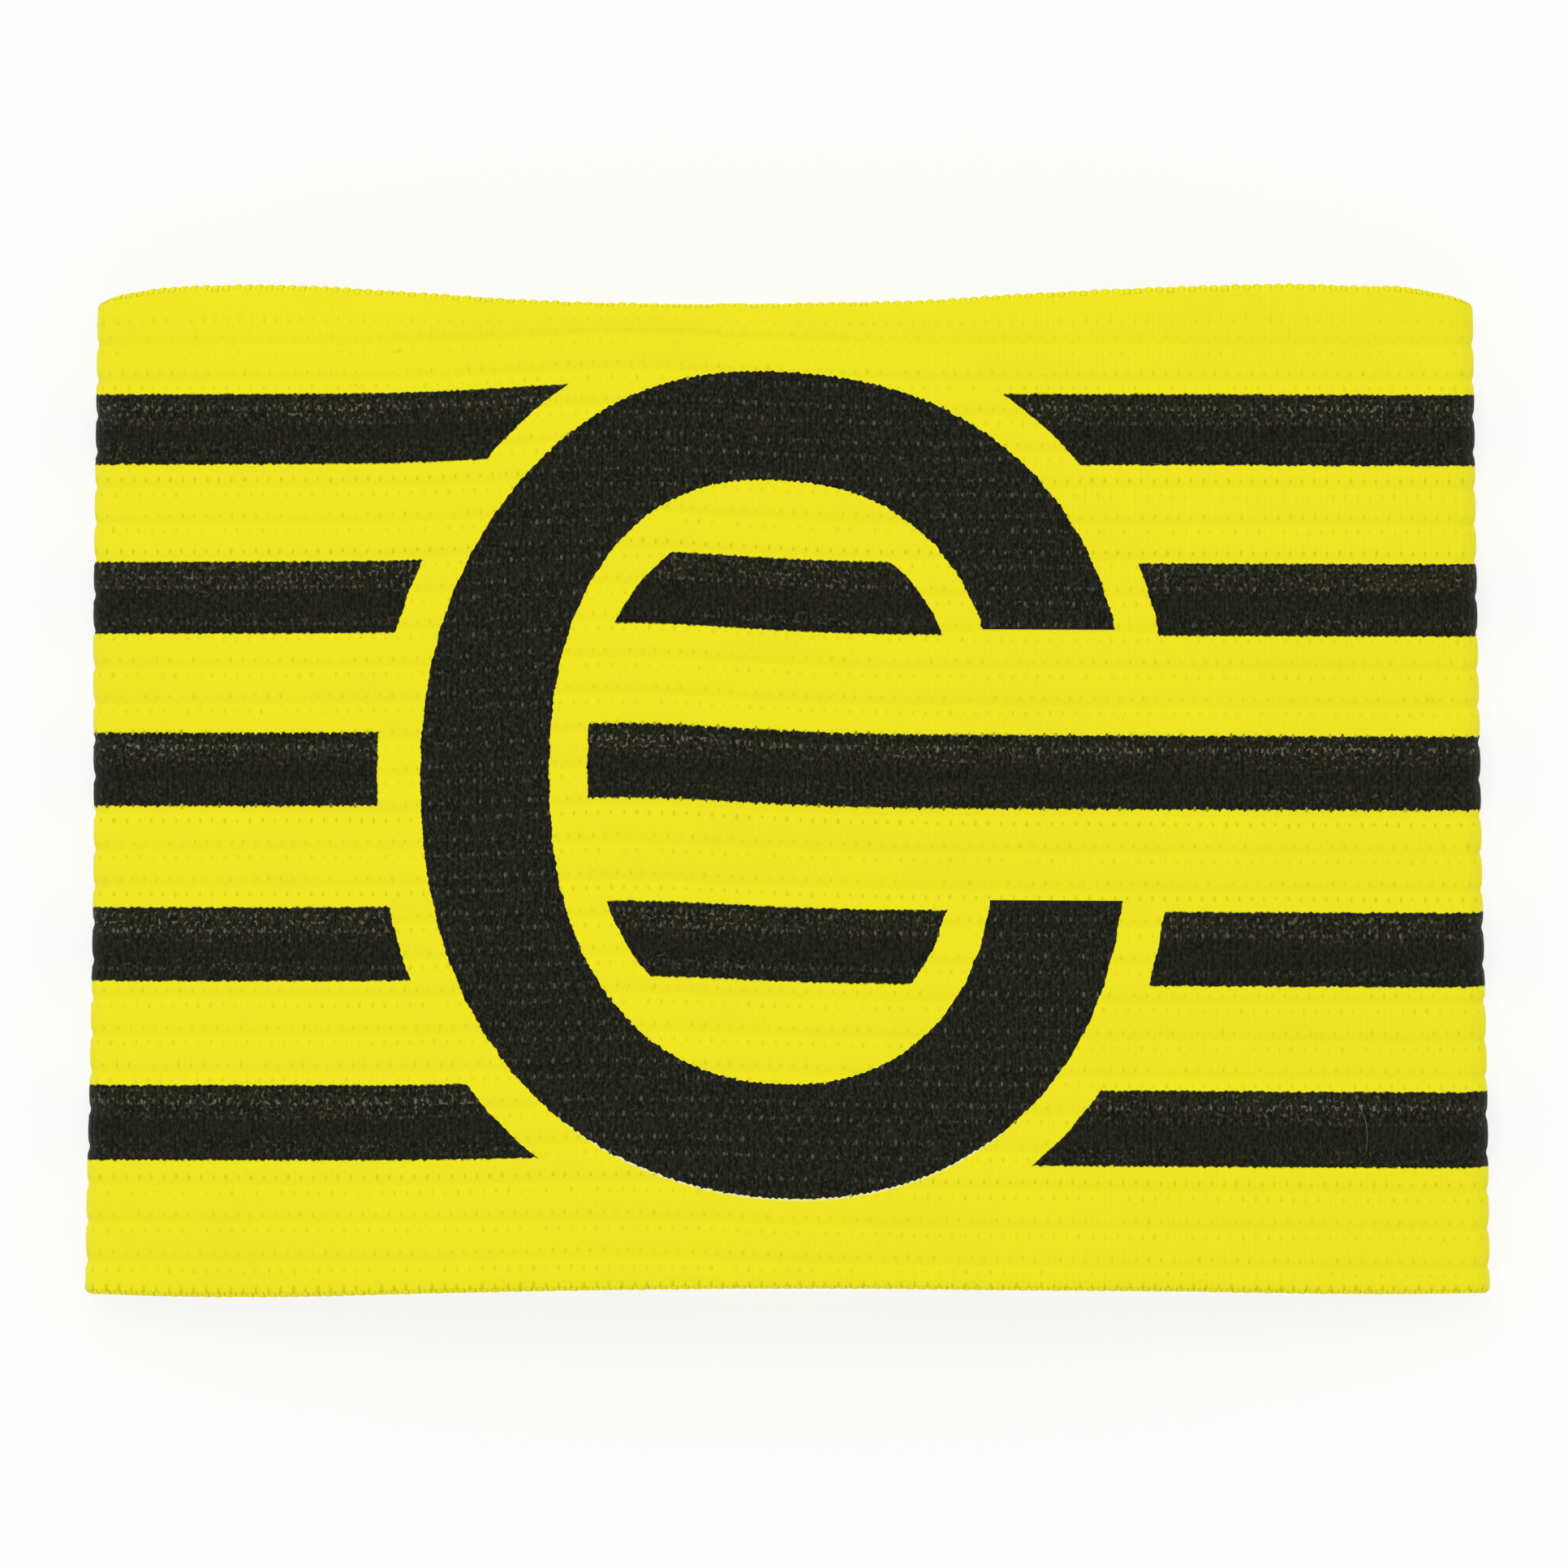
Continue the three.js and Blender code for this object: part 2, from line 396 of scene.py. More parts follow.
# %% Sizes of the print, in millimetres along the strip and up it
letter_outer = dict(
    along=-0.10, up=45.20, half_width=32.95, half_height=37.02, power=2.16, drawn_in=2.09, reach=21.6
)
letter_inner = dict(
    along=-0.55, up=45.45, half_width=20.85, half_height=27.00, power=2.26, drawn_in=1.55, reach=13.5
)
gap_outer = dict(
    along=-0.08, up=45.04, half_width=36.90, half_height=41.05, power=2.11, drawn_in=2.14, reach=23.4
)
gap_inner = dict(
    along=-0.45, up=45.64, half_width=17.53, half_height=22.80, power=2.27, drawn_in=1.88, reach=13.7
)
mouth = (35.26, 59.50)  # heights of the flat cuts on the letter's right
mouth_gap = 3.45  # bare cloth between those cuts and a stripe that passes between them
stripes = ((11.48, 18.27), (27.63, 34.31), (43.44, 50.07), (58.98, 65.48), (74.24, 80.60))
stitch_pitch = 1.13  # from one stitch to the next along a row
cords_per_stitch = 2
cord_pitch = stitch_pitch / cords_per_stitch  # of the fine cords that cross the ribs
knit_pitch = 0.55  # from one yarn to the next along a cord
drawn_below = 1.4  # how far under its middle a curve is drawn in most
letter_soft = 0.0025  # how soft a curve's edge is, in its sum of powers: a twentieth of a millimetre
band_soft, stripe_soft = 0.04, 0.12  # how soft a straight edge is, and a stripe's


# %% A helper that writes arithmetic as nodes
class Sheet:
    """Adds Math nodes to a material: each call takes values or sockets and returns a socket."""

    def __init__(self, name):
        self.material = bpy.data.materials.new(name)
        self.material.use_nodes = True
        self.tree = self.material.node_tree
        self.shader = self.tree.nodes["Principled BSDF"]

    def node(self, kind, **settings):
        """A new node, with some of its settings."""
        made = self.tree.nodes.new(kind)
        for key, value in settings.items():
            setattr(made, key, value)
        return made

    def fill(self, socket, value):
        """Links a socket to an input, or writes a plain value into it."""
        if isinstance(value, bpy.types.NodeSocket):
            self.tree.links.new(value, socket)
        else:
            socket.default_value = value

    def sum(self, operation, *values, clamp=False):
        """One step of arithmetic, kept between 0 and 1 if it is clamped."""
        made = self.node("ShaderNodeMath", operation=operation, use_clamp=clamp)
        for socket, value in zip(made.inputs, values):
            self.fill(socket, value)
        return made.outputs[0]

    def mix(self, share, first, second):
        """The first colour at a share of 0, the second at 1."""
        made = self.node("ShaderNodeMix", data_type="RGBA")
        self.fill(made.inputs["Factor"], share)
        colours = [socket for socket in made.inputs if socket.type == "RGBA"]
        self.fill(colours[0], first)
        self.fill(colours[1], second)
        return next(socket for socket in made.outputs if socket.type == "RGBA")

    def grain(self, along, up, size, layer, detail=1.0):
        """Noise whose lumps have a length along and a height up, from a layer of its own."""
        place = self.node("ShaderNodeCombineXYZ")
        self.fill(place.inputs[0], self.sum("DIVIDE", along, size[0]))
        self.fill(place.inputs[1], self.sum("DIVIDE", up, size[1]))
        self.fill(place.inputs[2], layer)
        made = self.node("ShaderNodeTexNoise")
        self.fill(made.inputs["Vector"], place.outputs[0])
        made.inputs["Scale"].default_value = 1.0
        made.inputs["Detail"].default_value = detail
        return made.outputs["Fac"]


# %% The two shapes that the print is made of
def superellipse(sheet, along, up, shape, shift=0.0):
    """1 inside the curve where the two offsets from its middle, as shares of its half sizes and
    raised to its power, add up to 1, and 0 outside it. To draw its right side in, the length
    along is first raised by a bell curve of the height."""
    above = sheet.sum("DIVIDE", sheet.sum("SUBTRACT", up, shape["up"] - drawn_below), shape["reach"])
    bell = sheet.sum("EXPONENT", sheet.sum("MULTIPLY", sheet.sum("MULTIPLY", above, above), -1.0))
    right = sheet.sum("GREATER_THAN", along, shape["along"])
    drawn = sheet.sum("MULTIPLY", sheet.sum("MULTIPLY", bell, right), shape["drawn_in"])
    along = sheet.sum("ADD", along, drawn)
    parts = []
    for value, middle, half in (
        (along, shape["along"], shape["half_width"]),
        (up, shape["up"] + shift, shape["half_height"]),
    ):
        offset = sheet.sum("ABSOLUTE", sheet.sum("DIVIDE", sheet.sum("SUBTRACT", value, middle), half))
        parts.append(sheet.sum("POWER", offset, shape["power"]))
    over = sheet.sum("SUBTRACT", 1.0, sheet.sum("ADD", *parts))
    return sheet.sum("MULTIPLY_ADD", over, 1 / letter_soft, 0.5, clamp=True)


def band(sheet, value, start, end, soft=band_soft):
    """1 where a value is between start and end, and 0 elsewhere, with slightly soft edges."""
    off = sheet.sum("ABSOLUTE", sheet.sum("SUBTRACT", value, (start + end) / 2))
    inside = sheet.sum("SUBTRACT", (end - start) / 2, off)
    return sheet.sum("MULTIPLY_ADD", inside, 1 / soft, 0.5, clamp=True)


# %% [markdown]
# ## The webbing's finish
#
# The ground is a bright yellow yarn, and the print a soft black ink that takes the weave's relief.
# The ink doesn't reach quite all of the yarn: pale specks stay in the grooves, and the long edges
# of the stripes step from one cord to the next. The same arithmetic colours the webbing and every
# stitch on it. The cords that cross the ribs are finer than the mesh, so they are a bump.

# %% The colours of the ground, the ink and the threads
yellow = (0.846, 0.780, 0.0118, 1)
# darker yellow for the slow patches, and painted shade in the grooves
shaded_yellow = (0.800, 0.735, 0.0103, 1)
ink = (0.0030, 0.0030, 0.0016, 1)
# The three paler inks are painted sheen on the tops of the yarns and cords, mixed with a random mottle
ink_letter_sheen_and_mottle = (0.0198, 0.0194, 0.0102, 1)  # on the tops of the yarns
ink_stripe_sheen_and_mottle = (0.0240, 0.0226, 0.0098, 1)
ink_edge_sheen_and_mottle = (0.0215, 0.0262, 0.0076, 1)  # along a stripe's two edges, where it is thinner
ink_speck = (0.150, 0.145, 0.095, 1)
bare_yarn = (0.80, 0.80, 0.62, 1)
# On the yellow a stitch's colour is painted shade of its pit, and darker painted shade for a deeper pit
stitch_pit_shade = (0.735, 0.695, 0.0045, 1)
stitch_deep_pit_shade = (0.66, 0.635, 0.0010, 1)  # at the lower selvedge and beside some stripes
stitch_on_ink = (0.085, 0.083, 0.056, 1)
fibre_on_ink = (0.130, 0.125, 0.090, 1)

# %% Where the ink is
rib_swing = 0.045  # how far the print's curves go in and out along the strip with every rib
yarn_swing = 0.32  # how far they and the stripes' edges wander from yarn to yarn
letter_rise = 0.25  # how far the letter's curves wander up and down from yarn to yarn
stitch_tooth, cord_tooth = 0.04, 0.06  # how far edges step at each stitch and at each cord
letter_teeth = 1.5  # how much further the letter's edge steps
yarn_lump, tooth_lump = (0.45, 0.5), (2.6, 1.0)  # sizes of the noises, along and up


def print_masks(sheet, along, up, groove_number):
    """How much of the letter's ink and of the stripes' ink is at a place on the cloth, and whether
    the place is inside the letter's outer curve. The curves go in and out by a hair from rib to
    rib and from yarn to yarn, as the ink took to them. An edge's teeth are a sine with a wave to
    each stitch and one with a wave to each cord, both as strong as a noise says."""
    turn = sheet.sum("MULTIPLY", along, 2 * math.pi / stitch_pitch)
    yarn_grain = sheet.sum("SUBTRACT", sheet.grain(along, up, yarn_lump, layer=5.0), 0.5)
    tooth = sheet.sum("MULTIPLY", sheet.sum("SINE", turn), stitch_tooth)
    cord_turn = sheet.sum("MULTIPLY", turn, float(cords_per_stitch))
    half_tooth = sheet.sum("MULTIPLY", sheet.sum("SINE", cord_turn), cord_tooth)
    uneven = sheet.grain(along, up, tooth_lump, layer=5.0)
    tooth = sheet.sum("MULTIPLY", sheet.sum("ADD", tooth, half_tooth), uneven)

    rib_turn = sheet.sum("MULTIPLY", groove_number, 2 * math.pi)
    along = sheet.sum("MULTIPLY_ADD", sheet.sum("COSINE", rib_turn), rib_swing, along)
    along = sheet.sum("MULTIPLY_ADD", yarn_grain, yarn_swing, along)
    right = sheet.sum("GREATER_THAN", along, letter_inner["along"])
    stepped = sheet.sum("MULTIPLY_ADD", yarn_grain, letter_rise, up)
    stepped = sheet.sum("MULTIPLY_ADD", tooth, letter_teeth, stepped)
    outer = superellipse(sheet, along, stepped, letter_outer)
    inner = superellipse(sheet, along, stepped, letter_inner)
    in_mouth = sheet.sum("MULTIPLY", right, band(sheet, up, *mouth))
    cut_out = sheet.sum("MAXIMUM", inner, in_mouth)
    letter = sheet.sum("MULTIPLY", outer, sheet.sum("SUBTRACT", 1.0, cut_out))

    around = superellipse(sheet, along, up, gap_outer)
    within = superellipse(sheet, along, up, gap_inner)
    passage = sheet.sum(
        "MULTIPLY", right, band(sheet, up, mouth[0] + mouth_gap, mouth[1] - mouth_gap)
    )
    open_cloth = sheet.sum("MAXIMUM", within, passage)
    gap = sheet.sum("MULTIPLY", around, sheet.sum("SUBTRACT", 1.0, open_cloth))

    ragged = sheet.sum("ADD", tooth, up)
    ragged = sheet.sum("MULTIPLY_ADD", yarn_grain, yarn_swing, ragged)
    stripe = 0.0
    for start, end in stripes:
        stripe = sheet.sum("MAXIMUM", stripe, band(sheet, ragged, start, end, stripe_soft))
    stripe = sheet.sum("MULTIPLY", stripe, sheet.sum("SUBTRACT", 1.0, gap))
    return letter, stripe, outer


# %% What a material can ask about its place on the cloth
outer_face_from = 0.9  # an "outside" of more than this is on the outer face, clear of its edges
far_away = 1000.0  # more than any distance on the strip


def cloth_measures(sheet):
    """Sockets of the length along, the height up and the groove's number, from the attribute."""
    told = sheet.node("ShaderNodeAttribute", attribute_name="cloth", attribute_type="GEOMETRY")
    parts = sheet.node("ShaderNodeSeparateXYZ")
    sheet.fill(parts.inputs[0], told.outputs["Vector"])
    return parts.outputs[0], parts.outputs[1], parts.outputs[2]


def printed_face(sheet):
    """1 on the cloth's outer face, which is the printed one, and 0 on its edges and inner face."""
    told = sheet.node("ShaderNodeAttribute", attribute_name="outside", attribute_type="GEOMETRY")
    return sheet.sum("GREATER_THAN", told.outputs["Fac"], outer_face_from)


def nearness(sheet, value, places, reach):
    """1 where a value is at one of some places, and less with its distance from the nearest one,
    down to 0 at the reach."""
    least = far_away
    for place in places:
        away = sheet.sum("ABSOLUTE", sheet.sum("SUBTRACT", value, place))
        least = sheet.sum("MINIMUM", least, away)
    return sheet.sum("SUBTRACT", 1.0, sheet.sum("DIVIDE", least, reach), clamp=True)


# %% How a stripe is speckled, with bands of painted sheen, and how dull the cloth is
# A band of painted sheen below a stripe's upper edge and a weaker one above its lower edge
top_sheen_band, top_reach = 1.4, 1.9  # how far below a stripe's upper edge, and how far each way
foot_sheen_band, foot_reach = 1.2, 1.0  # the same above its lower edge
least_specks, more_at_top, more_at_foot = 0.12, 0.88, 0.30  # their strength


def specks_and_sheen_band(sheet, up):
    """How strong the pale specks and the painted sheen are on a stripe: a band of painted sheen
    makes them most just below its upper edge, less just above its lower edge, and least between."""
    below_top = nearness(sheet, up, [end - top_sheen_band for start, end in stripes], top_reach)
    above_foot = nearness(sheet, up, [start + foot_sheen_band for start, end in stripes], foot_reach)
    strength = sheet.sum("MULTIPLY_ADD", below_top, more_at_top, least_specks)
    return sheet.sum("MULTIPLY_ADD", above_foot, more_at_foot, strength, clamp=True)


def dull_fabric(sheet, colour):
    """Sets a dull cloth shader with a colour and a little sheen."""
    sheet.fill(sheet.shader.inputs["Base Color"], colour)
    sheet.shader.inputs["Roughness"].default_value = 0.9
    sheet.shader.inputs["Specular IOR Level"].default_value = 0.12
    sheet.shader.inputs["Sheen Weight"].default_value = 0.06
    sheet.shader.inputs["Sheen Roughness"].default_value = 0.5


# %% The webbing's material: where it is on the cloth
webbing = Sheet("printed_webbing")
along, up, groove_number = cloth_measures(webbing)
letter, stripe, outer = print_masks(webbing, along, up, groove_number)
printed = printed_face(webbing)
letter = webbing.sum("MULTIPLY", letter, printed)
stripe = webbing.sum("MULTIPLY", stripe, printed)

# Distance from the nearest groove's middle, in millimetres, and from that the groove itself.
nearest = webbing.sum("ROUND", groove_number)
off_groove = webbing.sum("ABSOLUTE", webbing.sum("SUBTRACT", groove_number, nearest))
off_groove = webbing.sum("MULTIPLY", off_groove, rib_pitch)
in_groove = webbing.sum("SUBTRACT", 1.0, webbing.sum("DIVIDE", off_groove, groove_half), clamp=True)

# %% [markdown]
# ## Yarns, cords and knit
#
# Four noises, each with lumps of its own size, stand for the yarns' unevenness, for slow patches,
# for the specks that the ink missed and for the finest grain. The cords are a sine along the
# strip. Across them, every other cord's yarn comes up in turn: a sine along times a sine up is
# high and low like the fields of a chessboard.

# %% Grain, cords and knit, with the sizes of the lumps along and up in millimetres
yarn_noise = webbing.grain(along, up, size=(0.28, 1.7), layer=0.0, detail=3.0)
slow_noise = webbing.grain(along, up, size=(14.0, 9.0), layer=3.0, detail=2.0)
fleck_noise = webbing.grain(along, up, size=(0.33, 0.42), layer=7.0)
fine_noise = webbing.grain(along, up, size=(0.17, 0.36), layer=9.0)

cord_sunk = 0.6  # how much weaker the cords are at the bottom of a groove
cord = webbing.sum("SINE", webbing.sum("MULTIPLY", along, 2 * math.pi / cord_pitch))
cord = webbing.sum("MULTIPLY_ADD", cord, 0.5, 0.5)
on_rib = webbing.sum("MULTIPLY_ADD", in_groove, -cord_sunk, 1.0)
cord = webbing.sum("MULTIPLY", cord, on_rib)
knit = webbing.sum(
    "MULTIPLY",
    webbing.sum("SINE", webbing.sum("MULTIPLY", along, math.pi / cord_pitch)),
    webbing.sum("SINE", webbing.sum("MULTIPLY", up, math.pi / knit_pitch)),
)

# %% The yellow ground, a little darker in slow patches and with painted shade in the grooves
yarn_shade, slow_shade, painted_groove_shade = 0.7, 0.8, 0.25  # how strongly each one shades the yellow
unshaded = 0.45  # how much of the two noises together leaves it unshaded
tone_and_painted_shade = webbing.sum("MULTIPLY", slow_noise, slow_shade)
tone_and_painted_shade = webbing.sum("MULTIPLY_ADD", yarn_noise, yarn_shade, tone_and_painted_shade)
tone_and_painted_shade = webbing.sum("SUBTRACT", tone_and_painted_shade, unshaded, clamp=True)
# painted shade in the grooves between the ribs
tone_and_painted_shade = webbing.sum("MULTIPLY_ADD", in_groove, painted_groove_shade, tone_and_painted_shade, clamp=True)
ground = webbing.mix(tone_and_painted_shade, yellow, shaded_yellow)

# %% [markdown]
# ## The ink
#
# The ink is nearly black in the hollows and paler on top of the yarns and cords, which is painted
# sheen, mixed with a random mottle. It missed a few yarns altogether, most of them at the lips of
# the grooves; on the stripes these pale specks and the painted sheen are stronger in a band below
# the upper edge and in a weaker one above the lower edge. Along a stripe's two edges the ink is
# thinner, and the yellow under it shows through as a hint of green.

# %% Specks that the ink missed
speck_from, speck_gain = 0.58, 8.0  # how high the noise must be for a speck, and how sharp it is
speck_reach = 0.34  # from a lip of a groove, in millimetres
stripe_lip, stripe_rest = 0.35, 0.75  # strength that a lip adds on a stripe, and that elsewhere
letter_lip, letter_rest = 0.20, 0.15  # the same on the letter
patch_gain, patch_middle = 3.0, 0.9  # how the slow patches strengthen and weaken the specks
fleck = webbing.sum("SUBTRACT", fleck_noise, speck_from)
fleck = webbing.sum("MULTIPLY", fleck, speck_gain, clamp=True)
off_lip = webbing.sum("ABSOLUTE", webbing.sum("SUBTRACT", off_groove, groove_half))
near_lip = webbing.sum("SUBTRACT", 1.0, webbing.sum("DIVIDE", off_lip, speck_reach), clamp=True)
stripe_fleck = webbing.sum("MULTIPLY_ADD", near_lip, stripe_lip, stripe_rest)
stripe_fleck = webbing.sum("MULTIPLY", fleck, stripe_fleck)
# stronger in the stripes' bands of painted sheen
stripe_fleck = webbing.sum("MULTIPLY", stripe_fleck, specks_and_sheen_band(webbing, up))
patchy = webbing.sum("SUBTRACT", slow_noise, 0.5)
patchy = webbing.sum("MULTIPLY_ADD", patchy, patch_gain, patch_middle)
stripe_fleck = webbing.sum("MULTIPLY", stripe_fleck, patchy, clamp=True)
letter_fleck = webbing.sum("MULTIPLY_ADD", near_lip, letter_lip, letter_rest)
letter_fleck = webbing.sum("MULTIPLY", fleck, letter_fleck)

# %% The ink's painted sheen on the tops of the yarns and cords, with its random mottle
yarn_streak, fine_streak = 2.3, 3.0  # how strongly each noise shows in the ink
# how strongly the knit and the cords show as painted sheen on the ink
knit_sheen, cord_sheen = 0.16, 0.22
even_streak = 0.34  # paleness of the ink where both noises are even
sheen_and_mottle = webbing.sum("SUBTRACT", yarn_noise, 0.5)
sheen_and_mottle = webbing.sum("MULTIPLY_ADD", sheen_and_mottle, yarn_streak, even_streak)
sheen_and_mottle = webbing.sum("MULTIPLY_ADD", webbing.sum("SUBTRACT", fine_noise, 0.5), fine_streak, sheen_and_mottle)
sheen_and_mottle = webbing.sum("MULTIPLY_ADD", knit, knit_sheen, sheen_and_mottle)
sheen_and_mottle = webbing.sum("MULTIPLY_ADD", cord, cord_sheen, sheen_and_mottle, clamp=True)
letter_ink = webbing.mix(sheen_and_mottle, ink, ink_letter_sheen_and_mottle)
letter_ink = webbing.mix(letter_fleck, letter_ink, ink_speck)

thin_reach = 1.3  # how far in from a stripe's edge the ink is thinner, in millimetres
# how much the ink's painted sheen and mottle grow in the bands of painted sheen, and elsewhere
sheen_and_mottle_in_band, sheen_and_mottle_elsewhere = 0.45, 0.65  # strength added where specks are, and elsewhere
at_edge = nearness(webbing, up, [edge for pair in stripes for edge in pair], thin_reach)
# the stripes' painted sheen and mottle are greener along their edges, where the ink is thinner
stripe_sheen_colour = webbing.mix(at_edge, ink_stripe_sheen_and_mottle, ink_edge_sheen_and_mottle)
stripe_sheen_and_mottle = specks_and_sheen_band(webbing, up)
stripe_sheen_and_mottle = webbing.sum("MULTIPLY_ADD", stripe_sheen_and_mottle, sheen_and_mottle_in_band, sheen_and_mottle_elsewhere)
stripe_sheen_and_mottle = webbing.sum("MULTIPLY", sheen_and_mottle, stripe_sheen_and_mottle)
stripe_ink = webbing.mix(stripe_sheen_and_mottle, ink, stripe_sheen_colour)
stripe_ink = webbing.mix(stripe_fleck, stripe_ink, ink_speck)

# %% A sliver of bare yarn under the letter's foot, whose ink was laid a hair too high
sliver_height, sliver_gain = 0.16, 1.2
sliver_top, sliver_fade = 15.0, 3.0  # height up the strip where it ends, and fades before that
sliver = superellipse(webbing, along, up, letter_outer, shift=-sliver_height)
sliver = webbing.sum("MULTIPLY", sliver, webbing.sum("SUBTRACT", 1.0, outer))
low_down = webbing.sum("SUBTRACT", sliver_top, up)
low_down = webbing.sum("DIVIDE", low_down, sliver_fade, clamp=True)
sliver = webbing.sum("MULTIPLY", sliver, webbing.sum("MULTIPLY", low_down, yarn_noise))
sliver = webbing.sum("MULTIPLY", sliver, webbing.sum("MULTIPLY", printed, sliver_gain), clamp=True)

# %% All the colours together
colour = webbing.mix(sliver, ground, bare_yarn)
colour = webbing.mix(stripe, colour, stripe_ink)
colour = webbing.mix(letter, colour, letter_ink)
dull_fabric(webbing, colour)

# %% The webbing's fine relief
cord_relief = 0.03 * MM  # how far a cord stands out
yarn_relief, knit_relief = 0.9, 0.3  # how far the yarns and the knit do, as shares of that
relief = webbing.sum("MULTIPLY_ADD", yarn_noise, yarn_relief, cord)
relief = webbing.sum("MULTIPLY_ADD", knit, knit_relief, relief)
bump = webbing.node("ShaderNodeBump")
bump.inputs["Strength"].default_value = 1.0
bump.inputs["Distance"].default_value = cord_relief
webbing.fill(bump.inputs["Height"], relief)
webbing.fill(webbing.shader.inputs["Normal"], bump.outputs["Normal"])
print(f"{webbing.material.name}: {len(webbing.tree.nodes)} nodes")

# %% [markdown]
# ## The strip
#
# The strip's section is a closed outline: the ribbed outside, the round edge of one selvedge, the
# inside, and the round edge of the other. The outline is set at every station along the strip,
# and the two cut ends are closed with a cap. Stations stand close together only where the strip
# turns, at the folds and in the lap.

# %% The webbing, from one cut end to the other
edge_round = 0.42  # how far the selvedges' rounding reaches in
across_groove = (-0.68, -0.46, -0.23, 0.0, 0.23, 0.46, 0.68)  # places from a groove's middle
across_rib = (1.1, 1.65, 2.2)  # the same on the rib above it
lowest_places = (edge_round, 1.3)  # on the lowest rib, from the lower selvedge
highest_places = (2.2, 1.4, edge_round)  # on the highest rib, from the upper selvedge
past_last_groove = 1.0  # how far over the highest groove's middle the grooves' places go
inside_every = 3  # the inside has one place for so many of the outside's
inside_relief = 0.5  # depth of the inside's grooves, as a share of the outside's


def strip_section(round_steps=9):
    """Places (w, depth) round the section. Each selvedge is half an ellipse; the outside has ten
    places to a rib; the inside has fewer places, and shallower grooves."""
    steps = np.array(across_groove + across_rib)
    middles = lower_rib + rib_pitch * np.arange(rib_count - 1)
    across = (middles[:, None] + steps).ravel()
    across = across[across < band_width - upper_rib + past_last_groove]
    across = np.concatenate([lowest_places, across, band_width - np.array(highest_places)])
    inside = across[::inside_every][::-1]
    turn = np.linspace(0, np.pi, round_steps)[1:-1]
    upper_w = band_width - edge_round * (1 - np.sin(turn))
    edge_depth = wall / 2 - (wall / 2 - rib_dome) * np.cos(turn)
    w = np.concatenate([across, upper_w, inside, edge_round * (1 - np.sin(turn))])
    inside_depth = wall - inside_relief * rib_depth(inside)
    depth = np.concatenate([rib_depth(across), edge_depth, inside_depth, edge_depth[::-1]])
    return w, depth, depth < wall / 2


station_steps = (1.4, 0.32, 2.1, 0.5)  # on the front, a fold, the back and the lap


def strip_stations(beside=2.5, before_climb=0.5):
    """Shares of half the strip's length, from a cut end to the other. Each stretch has a step of
    its own: the front, the fold with a little beside it, the back, and the lap with its climb."""
    fold_from = front_half(band_width / 2)[0] - beside
    fold_to = fold_from + fold_length + 2 * beside
    lap_from = middle_half - lap_length - lap_run - before_climb
    marks = [0, fold_from, fold_to, lap_from, middle_half]
    stretches = [
        np.linspace(a, b, int(round((b - a) / step)) + 1)[:-1]
        for a, b, step in zip(marks[:-1], marks[1:], station_steps)
    ]
    side = np.append(np.concatenate(stretches), middle_half) / middle_half
    return np.concatenate([-side[:0:-1], side])


section_w, section_depth, section_outside = strip_section()
stations = strip_stations()
strip_points, strip_measures = cloth(stations[:, None], section_w, section_depth)
rows, columns = strip_points.shape[:2]
walls = grid_faces(rows, columns, ring=True)
print(f"{rows} stations with {columns} places each")

# %% Its two cut ends, and the mesh
# A cap is a fan from the middle of a cut end to its outline.
ring = np.arange(columns)
first_middle, last_middle = rows * columns, rows * columns + 1
first_cap = np.stack([np.full(columns, first_middle), ring, np.roll(ring, -1)], axis=-1)
last_ring = ring + (rows - 1) * columns
last_cap = np.stack([np.full(columns, last_middle), np.roll(last_ring, -1), last_ring], axis=-1)
ends = strip_points[[0, -1]].mean(axis=1)
end_measures = strip_measures[[0, -1]].mean(axis=1)
strip_points = np.concatenate([strip_points.reshape(-1, 3), ends])
strip_measures = np.concatenate([strip_measures.reshape(-1, 3), end_measures])

strip_outside = np.append(np.tile(section_outside, rows), [0, 0])
strip = new_piece(
    "webbing_strip", strip_points, strip_measures, [walls, first_cap, last_cap],
    webbing.material, "elastic_webbing", strip_outside,
)
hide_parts("elastic_band")

# %% [markdown]
# ## Stitches along the ribs
#
# In elastic webbing a thread comes to the surface at each lip of a groove, and the two rows of
# small upright stitches are half a step apart. They are real relief: each is a small dome, set on
# the cloth by the same function as the strip. On the yellow ground their colour is painted shade,
# darker than the ground, for the small pits that they lie in; on the ink they are paler, because
# the ink doesn't reach into those pits.

# %% The stitches' material
stitched = Sheet("webbing_stitches")
along, up, groove_number = cloth_measures(stitched)
letter, stripe = print_masks(stitched, along, up, groove_number)[:2]
patches = stitched.grain(along, up, size=(0.9, 1.3), layer=11.0, detail=2.0)
strength_from, strength_gain = 0.32, 3.2  # how high the noise must be for a stitch to show
strength = stitched.sum("SUBTRACT", patches, strength_from)
strength = stitched.sum("MULTIPLY", strength, strength_gain, clamp=True)
faint_from, fainter = 83.3, 0.55  # height from which the stitches are fainter, and how much
faint = stitched.sum("GREATER_THAN", up, faint_from)
faint = stitched.sum("MULTIPLY_ADD", faint, -fainter, 1.0)
# on the yellow a stitch is painted shade of its pit, where the noise lets it show
pit_shade_on_yellow = stitched.mix(stitched.sum("MULTIPLY", strength, faint), yellow, stitch_pit_shade)

# The rows under the first, third and fifth stripe and over the others lie deep beside the ink, and
# so does the row at the lower selvedge: their stitches get a darker painted shade.
from_selvedge = 0.46  # from the lower selvedge to the middle of its own row of stitches
row_under, row_over = 1.0, 0.7  # from a stripe's edge to the row under it, and over it
